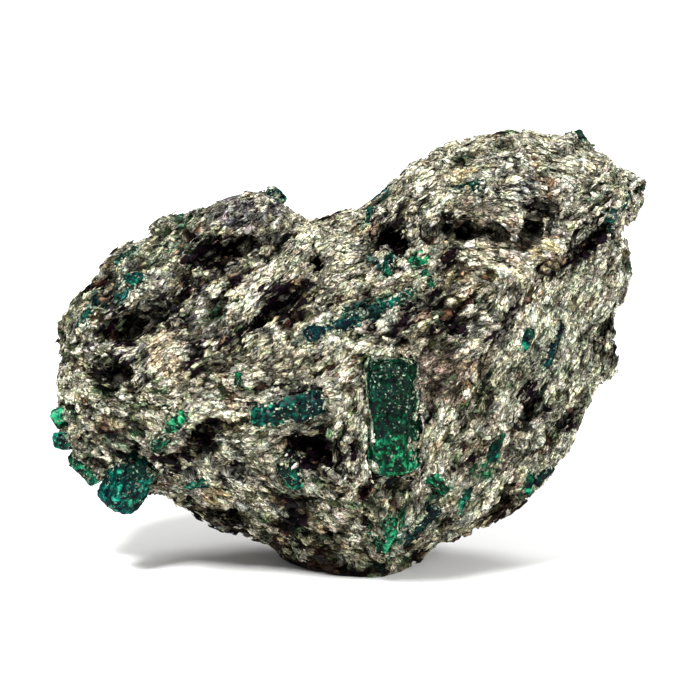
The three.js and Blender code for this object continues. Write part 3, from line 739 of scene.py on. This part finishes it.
def makeFlakes(name, bed, seed):
    rng = np.random.default_rng(seed)
    leaves = bed["kind"] == "leaf"
    kind = flakeKinds[bed["kind"]]
    shape = {"candidates": 120000, "frontFrom": -0.12, "fibreWidth": 0.16 * mm, "fibreStretch": 1.7}
    corners, shares, places, normals = scatter(rock, rockNormals, shape["candidates"], rng)
    runs = rockRuns[corners[:, 0]]
    # depth is the painted shade of the rock where each flake lies.
    depth, smooth = (blend(values, corners, shares)[:, 0] for values in (rockPaintedShade, rockSmooth))
    across, up = onFace(places)
    kept = (across >= bed["across"][0]) & (across < bed["across"][1])
    kept &= (up >= bed["up"][0]) & (up < bed["up"][1])
    kept &= (normals @ faceOut > shape["frontFrom"]) == bed["front"]
    # The resting face keeps its flat.
    kept &= ~((normals[:, 2] < -0.9) & (places[:, 2] < 0.4 * mm))
    if leaves:
        kept &= rng.random(len(places)) < depth * (0.3 + 0.7 * smooth)
    else:
        kept &= rng.random(len(places)) < (0.08 + 1.1 * depth) * (1 - 0.85 * smooth)
    chosen = np.flatnonzero(kept)
    away = crystalDistance(places[chosen])
    chosen = chosen[away > rng.uniform(*kind["clear"], len(chosen)) * mm][: bed["count"]]
    places, normals, runs, depth, smooth = (each[chosen] for each in (places, normals, runs, depth, smooth))
    count = len(places)
    along = alongLayers(normals, runs + rng.normal(0, 0.22, count))
    onEdge = rng.random(count) < bed["onEdge"]
    lying = rng.normal(*kind["lying"], count)
    tilt = np.radians(np.where(onEdge, rng.normal(64, 12, count), lying))
    upright = normals * np.cos(tilt)[:, None] + np.cross(normals, along) * np.sin(tilt)[:, None]
    # All the leaves of a bed are about as large, and the scales vary.
    size = rng.lognormal(-0.12, 0.3 if leaves else np.where(onEdge, 0.42, 0.55))
    fibre = rng.random(count) < bed["fibres"]
    lengths = bed["length"] * size * np.where(onEdge, 1.25, 0.9) * rng.uniform(0.8, 1.25, count) * mm
    widths = bed["width"] * size * rng.uniform(0.7, 1.3, count) * mm
    widths = np.minimum(widths, np.where(onEdge, 0.7, kind["widest"]) * mm)
    lengths = np.minimum(np.where(fibre, lengths * shape["fibreStretch"], lengths), kind["longest"] * mm)
    widths = np.where(fibre, shape["fibreWidth"], widths)
    thicknesses = rng.uniform(*kind["thick"], count) * mm
    uneven = rng.normal(0, kind["uneven"], count)
    tone = schistTone(places, runs) + rng.normal(0.03, 0.07, count) + np.where(fibre, 0.08, 0)
    dark = rng.random(count) < kind["dark"]
    # One flake in twenty is painted paler as a painted glint; the dark share is dark mica.
    tone += np.where(rng.random(count) < 0.05, 0.2, 0) - np.where(dark, 0.4, 0)
    # Flakes take on part of that painted shade.
    colours = micaColour(places, runs, np.clip(tone, 0, 1), uneven) * (0.25 + 0.75 * depth)[:, None]
    colours = np.concatenate([colours, 0.2 + 0.6 * smooth[:, None]], axis=1)
    lift = np.where(onEdge, rng.uniform(-0.24, -0.02, count), rng.uniform(-0.06, 0.1, count)) * mm
    piece = layFlakes(
        name, places + normals * lift[:, None], along, upright, (lengths, widths, thicknesses), colours, rng,
        bed["kind"], bed["corners"], runs,
    )
    print(name, count)
    return piece


print("flakes")
flakes = [makeFlakes(name, {**flakeBed, **bed}, 7 + n) for n, (name, bed) in enumerate(flakeBeds.items())]


def makeWispsAndGlints():
    # Mica stuck to the crystals: fine pale slivers on their faces, in clumps. The pale ones are partly mica
    # and partly painted highlight, standing in for glints on the crystals.
    rng = np.random.default_rng(31)
    shape = {"perArea": 10.0, "length": 0.5 * mm, "width": 0.25 * mm, "thickness": 0.06 * mm}
    everything = []
    for node, piece in crystals.items():
        crusted = 0.3 + 0.7 * lookOf(node)["crust"]
        count = int(triangleAreas(piece).sum() / mm ** 2 * shape["perArea"] * crusted)
        corners, shares, places, normals = scatter(piece, normalsOf(piece), count, rng)
        axis, along = longAxis(pointsOf(piece))
        high = blend(along, corners, shares)[:, 0]
        clump = grainNoise(places, 1.3, 33) + 0.7 * grainNoise(places, 0.5, 34)
        clump += 0.5 * smoothStep(0.1, 0.4, high) - 0.4
        kept = (clump > rng.uniform(0.0, 0.35, count)) & standsFree(places, normals)
        everything.append((places[kept], normals[kept], np.repeat([axis], kept.sum(), axis=0)))
    places, normals, axes = (np.concatenate(parts) for parts in zip(*everything))
    count = len(places)
    normals = unit(normals + rng.normal(0, 0.35, normals.shape))
    along = squareTo(normals, axes + rng.normal(0, 1.6, axes.shape))
    size = rng.lognormal(-0.2, 0.5, count)
    pale = 0.3 + 0.5 * grainNoise(places, 0.8, 35) + rng.normal(0, 0.25, count)
    shade = smoothStep(0.1, 0.9, pale)[:, None]
    colours = np.array([0.003, 0.02, 0.012]) * (1 - shade) + np.array([0.56, 0.64, 0.50]) * shade
    sizes = (shape["length"] * size, shape["width"] * size, np.full(count, shape["thickness"]))
    print("wisps", count)
    return layFlakes("mica_wisps_and_glints_on_crystals", places, along, normals, sizes, colours, rng, corners=4)


wisps = makeWispsAndGlints()


def makeWraps():
    # Pale mica wrapped round each crystal: scales that stand up against its sides and lap over its edges.
    rng = np.random.default_rng(47)
    shape = {
        "candidates": 93600, "standing": 3600, "lapping": 31200, "length": 0.9 * mm, "width": 0.45 * mm,
        "thickness": 0.08 * mm,
    }
    _, _, places, normals = scatter(rock, rockNormals, shape["candidates"], rng)
    nearest = [crystalTree.find(place) for place in places]
    away = np.array([found[2] for found in nearest])
    chosen = np.flatnonzero(away < rng.uniform(0.3, 1.3, len(away)) * mm)
    chosen = chosen[standsFree(places[chosen], normals[chosen])][: shape["standing"]]
    places, normals = places[chosen], normals[chosen]
    towards = squareTo(normals, np.array([found[0] for found in nearest])[chosen] - places)
    along = unit(np.cross(normals, towards) + rng.normal(0, 0.3, places.shape))
    facing = squareTo(along, unit(normals * 0.7 - towards * rng.uniform(0.0, 1.2, len(places))[:, None]))
    sets = [(places + normals * rng.uniform(0.0, 0.3, len(places))[:, None] * mm, along, facing)]
    areas = {node: triangleAreas(piece).sum() for node, piece in crystals.items()}
    whole = sum(areas.values())
    for node, piece in crystals.items():
        count = int(shape["lapping"] * areas[node] / whole)
        _, _, places, normals = scatter(piece, normalsOf(piece), count, rng)
        away = np.array([rockTree.find_nearest(place)[3] for place in places.tolist()])
        reach = min(0.25 + 0.75 * lookOf(node)["crust"], 0.19 * min(piece.dimensions) / mm)
        uneven = 1 + 0.8 * grainNoise(places, 1.6, 49)
        kept = away < rng.uniform(0.1, 1.2, count) * reach * uneven * mm
        kept &= standsFree(places, normals)
        places, normals = places[kept], normals[kept]
        along = unit(np.cross(normals, rng.normal(size=normals.shape)))
        sets.append((places, along, unit(normals + rng.normal(0, 0.15, normals.shape))))
    places, along, facing = (np.concatenate(parts) for parts in zip(*sets))
    facing = squareTo(along, facing)
    count = len(places)
    size = rng.lognormal(-0.2, 0.4, count)
    tone = np.clip(rng.normal(0.84, 0.15, count), 0, 1)
    runs = strongestRun(places)
    colours = micaColour(places, runs, tone, rng.normal(0, 0.5, count))
    greenish = 0.55 * rng.random(count)[:, None] ** 2
    colours = colours * (1 - greenish) + np.array([0.05, 0.22, 0.12]) * greenish
    sizes = (shape["length"] * size, shape["width"] * size, np.full(count, shape["thickness"]))
    print("wraps", count)
    return layFlakes("mica_wraps_round_crystals", places, along, facing, sizes, colours, rng, runs=runs)


wraps = makeWraps()


class Nodes:
    # A node tree with short ways to add nodes. A socket is given a value, or the socket of another node.
    def __init__(self, tree):
        self.tree = tree

    def fill(self, node, sockets):
        for key, value in sockets.items():
            if isinstance(value, bpy.types.NodeSocket):
                self.tree.links.new(value, node.inputs[key])
            else:
                node.inputs[key].default_value = value

    def put(self, kind, sockets, **settings):
        node = self.tree.nodes.new("ShaderNode" + kind)
        for key, value in settings.items():
            setattr(node, key, value)
        self.fill(node, sockets)
        return node.outputs

    def maths(self, operation, *values, clamp=False):
        return self.put("Math", dict(enumerate(values)), operation=operation, use_clamp=clamp)[0]

    def times(self, a, b, clamp=False):
        return self.maths("MULTIPLY", a, b, clamp=clamp)

    def minus(self, a, b, clamp=False):
        return self.maths("SUBTRACT", a, b, clamp=clamp)

    def timesPlus(self, a, b, c):
        return self.maths("MULTIPLY_ADD", a, b, c)

    def vectors(self, operation, *values):
        return self.put("VectorMath", dict(enumerate(values)), operation=operation)["Vector"]

    def noise(self, place, scale, detail, roughness=0.5):
        sockets = {"Vector": place, "Scale": scale, "Detail": detail, "Roughness": roughness}
        return self.put("TexNoise", sockets)

    def cells(self, place, scale, feature="F1"):
        return self.put("TexVoronoi", {"Vector": place, "Scale": scale}, feature=feature)

    def channel(self, colour, name):
        return self.put("SeparateColor", {"Color": colour})[name]

    def span(self, value, **ends):
        # The value carried over from one span, usually 0 to 1, to another.
        names = {"fromLow": "From Min", "fromHigh": "From Max", "low": "To Min", "high": "To Max"}
        sockets = {names[end]: place for end, place in ends.items()}
        return self.put("MapRange", {"Value": value, **sockets})["Result"]

    def mix(self, share, a, b):
        return self.put("Mix", {0: share, 6: a, 7: b}, data_type="RGBA")[2]

    def bump(self, height, strength, distance):
        return self.put("Bump", {"Height": height, "Strength": strength, "Distance": distance})["Normal"]


def newGroup(name, inputs, outputs):
    group = bpy.data.node_groups.new(name, "ShaderNodeTree")
    for socket, kind, value in inputs:
        made = group.interface.new_socket(socket, in_out="INPUT", socket_type="NodeSocket" + kind)
        made.default_value = value
    for socket, kind in outputs:
        group.interface.new_socket(socket, in_out="OUTPUT", socket_type="NodeSocket" + kind)
    return group, group.nodes.new("NodeGroupInput").outputs, group.nodes.new("NodeGroupOutput")


def layeredMicaGroup():
    # Fine scales, streaks and threads that follow the layers, put over a tint.
    group, given, result = newGroup(
        "layered mica",
        [
            ("Tint", "Color", (0.34, 0.42, 0.33, 1)), ("Place", "Vector", (0, 0, 0)),
            ("Contrast", "Float", 2.6), ("Threads", "Float", 0.4), ("Plates", "Float", 0.3),
            ("Calm", "Float", 0.4),
        ],
        [("Color", "Color"), ("Roughness", "Float"), ("Height", "Float")],
    )
    n = Nodes(group)

    def noise(place, squeeze, detail):
        return n.noise(n.vectors("MULTIPLY", place, squeeze), 1.0, detail, 0.68)

    def cracks(edges, sharpness):
        # 1 on the edges and 0 away from them.
        return n.minus(1.0, n.times(edges, sharpness), clamp=True)

    wave = noise(given["Place"], (0.7, 0.9, 0.9), 2.0)["Color"]
    bent = n.vectors("ADD", given["Place"], n.vectors("MULTIPLY", wave, (0.9, 0.75, 0.75)))
    ruffle = noise(given["Place"], (2.4, 3.0, 2.6), 1.0)["Color"]
    bent = n.vectors("ADD", bent, n.vectors("MULTIPLY", ruffle, (0.4, 0.3, 0.3)))
    contrast = n.times(given["Contrast"], n.timesPlus(given["Calm"], -0.75, 1.2))
    streaks = noise(bent, (0.5, 3.2, 1.1), 4.0)["Fac"]
    threads = noise(bent, (0.6, 4.2, 1.4), 2.0)["Fac"]
    broad = noise(bent, (0.55, 1.0, 0.8), 3.0)["Color"]
    scalePlaces = n.vectors("MULTIPLY", bent, (1.15, 2.3, 1.4))
    scaleTone = n.channel(n.cells(scalePlaces, 1.0)["Color"], "Red")
    edges = n.cells(scalePlaces, 1.0, "DISTANCE_TO_EDGE")["Distance"]
    fineTone = n.channel(n.cells(bent, 3.4)["Color"], "Green")
    tone = n.timesPlus(n.minus(streaks, 0.5), 2.2, n.times(scaleTone, 0.36))
    tone = n.timesPlus(fineTone, 0.24, tone)
    shade = n.maths("EXPONENT", n.times(n.minus(tone, 0.30), contrast))
    shade = n.maths("MINIMUM", shade, 1.5)
    # A thread is a thin bright line where the noise crosses its middle value.
    thread = cracks(n.maths("ABSOLUTE", n.minus(threads, 0.5)), 18.0)
    shade = n.timesPlus(n.times(thread, given["Threads"]), n.maths("ADD", shade, 0.25), shade)
    crack = n.span(edges, fromHigh=0.14, low=0.3)
    shade = n.times(shade, crack)
    # Crumpled plates two or three millimetres long, with dark cracks between most of them.
    platePlaces = n.vectors("MULTIPLY", bent, (0.36, 0.78, 0.5))
    plateTone = n.channel(n.cells(platePlaces, 1.0)["Color"], "Blue")
    plateEdges = n.cells(platePlaces, 1.0, "DISTANCE_TO_EDGE")["Distance"]
    parted = n.times(n.minus(broad, 0.36), 7.0, clamp=True)
    parted = n.times(parted, cracks(plateEdges, 10.0))
    plateCrack = n.minus(1.0, n.times(parted, given["Plates"]))
    plateShade = n.timesPlus(n.minus(plateTone, 0.5), given["Plates"], 1.0)
    shade = n.times(shade, n.times(plateCrack, plateShade))
    # Dark seams run on along the layers for a few millimetres, and dark spots lie among them.
    seams = noise(bent, (0.30, 1.9, 0.8), 2.0)["Fac"]
    seam = cracks(n.maths("ABSOLUTE", n.minus(seams, 0.5)), 22.0)
    seam = n.minus(1.0, n.times(n.times(seam, given["Plates"]), 0.9))
    shade = n.times(shade, seam)
    spots = noise(bent, (0.9, 2.6, 1.3), 3.0)["Fac"]
    spot = n.span(spots, fromLow=0.57, fromHigh=0.63, low=1.0, high=0.08)
    shade = n.times(shade, spot)
    drift = n.vectors("ADD", n.vectors("MULTIPLY", broad, (0.9, 0.35, 1.0)), (0.60, 0.86, 0.44))
    colour = n.vectors("MULTIPLY", given["Tint"], drift)
    colour = n.put("VectorMath", {0: colour, "Scale": shade}, operation="SCALE")["Vector"]
    raised = n.maths("ADD", n.timesPlus(plateCrack, 1.6, n.maths("ADD", crack, spot)), seam)
    height = n.timesPlus(raised, 0.4, n.timesPlus(thread, 0.35, tone))
    n.fill(result, {"Color": colour, "Roughness": n.span(fineTone, low=0.34, high=0.78), "Height": height})
    return group


layeredMica = layeredMicaGroup()


def newMaterial(name):
    material = bpy.data.materials.new(name)
    material.use_nodes = True
    tree = material.node_tree
    tree.nodes.clear()
    output = tree.nodes.new("ShaderNodeOutputMaterial")
    shader = tree.nodes.new("ShaderNodeBsdfPrincipled")
    tree.links.new(shader.outputs["BSDF"], output.inputs["Surface"])
    return material, Nodes(tree), shader, output


def micaNodes(n, look, tints):
    # The layered mica group placed in a material. What isn't in tints keeps the value of the group.
    place = n.put("Attribute", {}, attribute_name="layerPlace")["Vector"]
    sockets = {"Place": place, **{name.title(): look[name] for name in ("contrast", "threads", "plates")}}
    return n.put("Group", {**sockets, **tints}, node_tree=layeredMica)


def schistMaterial(name, look):
    material, n, shader, _ = newMaterial(name)
    tint = n.put("VertexColor", {}, layer_name="schistTintAndShade")
    mica = micaNodes(n, look, {"Tint": tint["Color"], "Calm": tint["Alpha"]})
    shader.inputs["Specular IOR Level"].default_value = look["shine"]
    bump = n.bump(mica["Height"], look["bump"], look["depth"])
    n.fill(shader, {"Base Color": mica["Color"], "Roughness": mica["Roughness"], "Normal": bump})
    return material


def emeraldMaterial():
    look = {
        "transmission": 0.08, "ior": 1.577, "absorb": (0.10, 0.62, 0.40, 1), "density": 1100.0, "shine": 0.0,
        "greens": [(0.0, 0.001, 0.002, 0.002), (0.3, 0.001, 0.023, 0.009), (0.6, 0.003, 0.11, 0.040),
                   (1.0, 0.03, 0.35, 0.13)],
        "blues": [(0.0, 0.001, 0.001, 0.004), (0.3, 0.001, 0.016, 0.020), (0.6, 0.002, 0.085, 0.070),
                  (1.0, 0.03, 0.30, 0.22)],
        "speck": (0.20, 0.33, 0.24, 1), "bump": 0.4, "depth": 0.12 * mm,
        "film": {"contrast": 3.0, "threads": 0.6, "plates": 0.2},
    }
    material, n, shader, output = newMaterial("emerald")

    def colours(fac, stops):
        made = n.put("ValToRGB", {"Fac": fac})["Color"]
        elements = made.node.color_ramp.elements
        while len(elements) < len(stops):
            elements.new(0.5)
        for element, (position, *colour) in zip(elements, stops):
            element.position = position
            element.color = (*colour, 1)
        return made

    tint = n.put("VertexColor", {}, layer_name="crystalTint")["Color"]
    bright, blue, crust = (n.channel(tint, name) for name in ("Red", "Green", "Blue"))
    place = n.put("Attribute", {}, attribute_name="layerPlace")["Vector"]
    # Clouds and healed cracks inside the crystal make it bright and nearly black by turns.
    clouds = n.noise(place, 1.3, 5.0, 0.72)["Fac"]
    cellTone = n.channel(n.cells(place, 1.7)["Color"], "Red")
    cloud = n.times(n.times(n.minus(clouds, 0.435), 6.0, clamp=True), n.timesPlus(cellTone, 1.1, 0.55))
    even = n.times(bright, 0.6)
    glow = n.times(n.timesPlus(n.minus(1.0, even), cloud, even), bright)
    glow = n.timesPlus(cloud, 0.12, glow)
    green, teal = (colours(glow, look[name]) for name in ("greens", "blues"))
    # Pale specks the size of sugar grains, in clusters.
    ragged = n.vectors("MULTIPLY_ADD", n.noise(place, 3.4, 2.0)["Color"], (0.55, 0.55, 0.55), place)
    grains = n.cells(ragged, 2.2)
    grainTone = n.channel(grains["Color"], "Green")
    cluster = n.noise(place, 0.9, 3.0)["Fac"]
    speck = n.times(n.minus(n.timesPlus(cluster, 2.2, grainTone), 1.95), 5.0, clamp=True)
    core = n.times(n.minus(0.42, grains["Distance"]), 7.0, clamp=True)
    speck = n.times(n.times(speck, core), 0.75)
    film = micaNodes(n, look["film"], {})
    colour = n.mix(crust, n.mix(speck, n.mix(blue, green, teal), look["speck"]), film["Color"])
    dulled = n.maths("ADD", crust, speck, clamp=True)
    height = n.timesPlus(film["Height"], crust, n.times(cloud, 0.5))
    shader.inputs["Transmission Weight"].default_value = look["transmission"]
    shader.inputs["IOR"].default_value = look["ior"]
    shader.inputs["Specular IOR Level"].default_value = look["shine"]
    n.fill(shader, {
        "Base Color": colour, "Roughness": n.span(dulled, low=0.07, high=0.6),
        "Normal": n.bump(height, look["bump"], look["depth"]),
    })
    absorption = n.put("VolumeAbsorption", {"Color": look["absorb"], "Density": look["density"]})
    n.fill(output, {"Volume": absorption["Volume"]})
    return material


print("materials")
rockLook = {"contrast": 3.0, "threads": 0.8, "plates": 0.85, "bump": 1.0, "depth": 0.16 * mm, "shine": 0.03}
flakeLook = {"contrast": 2.9, "threads": 0.7, "plates": 0.7, "bump": 0.6, "depth": 0.16 * mm, "shine": 0.06}
rockMaterial = schistMaterial("schist", rockLook)
flakeMaterial = schistMaterial("mica flakes", flakeLook)
emerald = emeraldMaterial()

rock.data.materials.append(rockMaterial)
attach(rock, "root")
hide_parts("mica_schist_matrix")
for bed in [*flakes, wisps, wraps]:
    bed.data.materials.append(flakeMaterial)
    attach(bed, "root")
for node, piece in crystals.items():
    piece.data.materials.append(emerald)
    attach(piece, "root")
    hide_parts(node)


def addFloor():
    bpy.ops.mesh.primitive_plane_add(size=4, location=(0, 0, 0))
    floor = bpy.context.object
    floor.name = "floor"
    material, _, shader, _ = newMaterial("pale floor")
    shader.inputs["Base Color"].default_value = (0.9, 0.9, 0.9, 1)
    shader.inputs["Roughness"].default_value = 0.9
    floor.data.materials.append(material)


def addLight(name, place, size, power, aim=(0, 0, 0.03)):
    data = bpy.data.lights.new(name, "AREA")
    data.shape = "DISK"
    data.size = size
    data.energy = power
    light = newObject(name, data)
    light.location = place
    light.rotation_euler = (Vector(aim) - Vector(place)).to_track_quat("-Z", "Y").to_euler()


def addStudio():
    studio = {"sky": 0.48, "key": 7.4, "fill": 2.8, "backdrop": 9.0}
    world = bpy.data.worlds.new("white room")
    world.use_nodes = True
    background = world.node_tree.nodes["Background"].inputs
    background["Color"].default_value = (1, 1, 1, 1)
    background["Strength"].default_value = studio["sky"]
    bpy.context.scene.world = world
    addLight("key", (-0.19, -0.33, 0.52), 0.18, studio["key"])
    addLight("fill", (0.45, -0.30, 0.25), 0.25, studio["fill"])
    addLight("backdrop", (0.0, 0.75, 0.75), 0.6, studio["backdrop"], (0, 0.75, 0))
    bpy.context.scene.view_settings.view_transform = "Standard"


def addCamera():
    # A long lens square on to the leaning display face.
    view = {"distance": 0.9, "sensor": 36.0, "width": 0.09417, "height": 0.0284}
    camera = newObject("camera", bpy.data.cameras.new("camera"))
    camera.data.sensor_width = view["sensor"]
    camera.data.lens = view["sensor"] * view["distance"] / view["width"]
    camera.location = Vector(faceUp * view["height"] + faceOut * view["distance"])
    camera.rotation_euler = Vector(-faceOut).to_track_quat("-Z", "Y").to_euler()
    camera.data.clip_start = 0.01
    camera.data.clip_end = 20
    bpy.context.scene.camera = camera


print("studio")
addFloor()
addStudio()
addCamera()
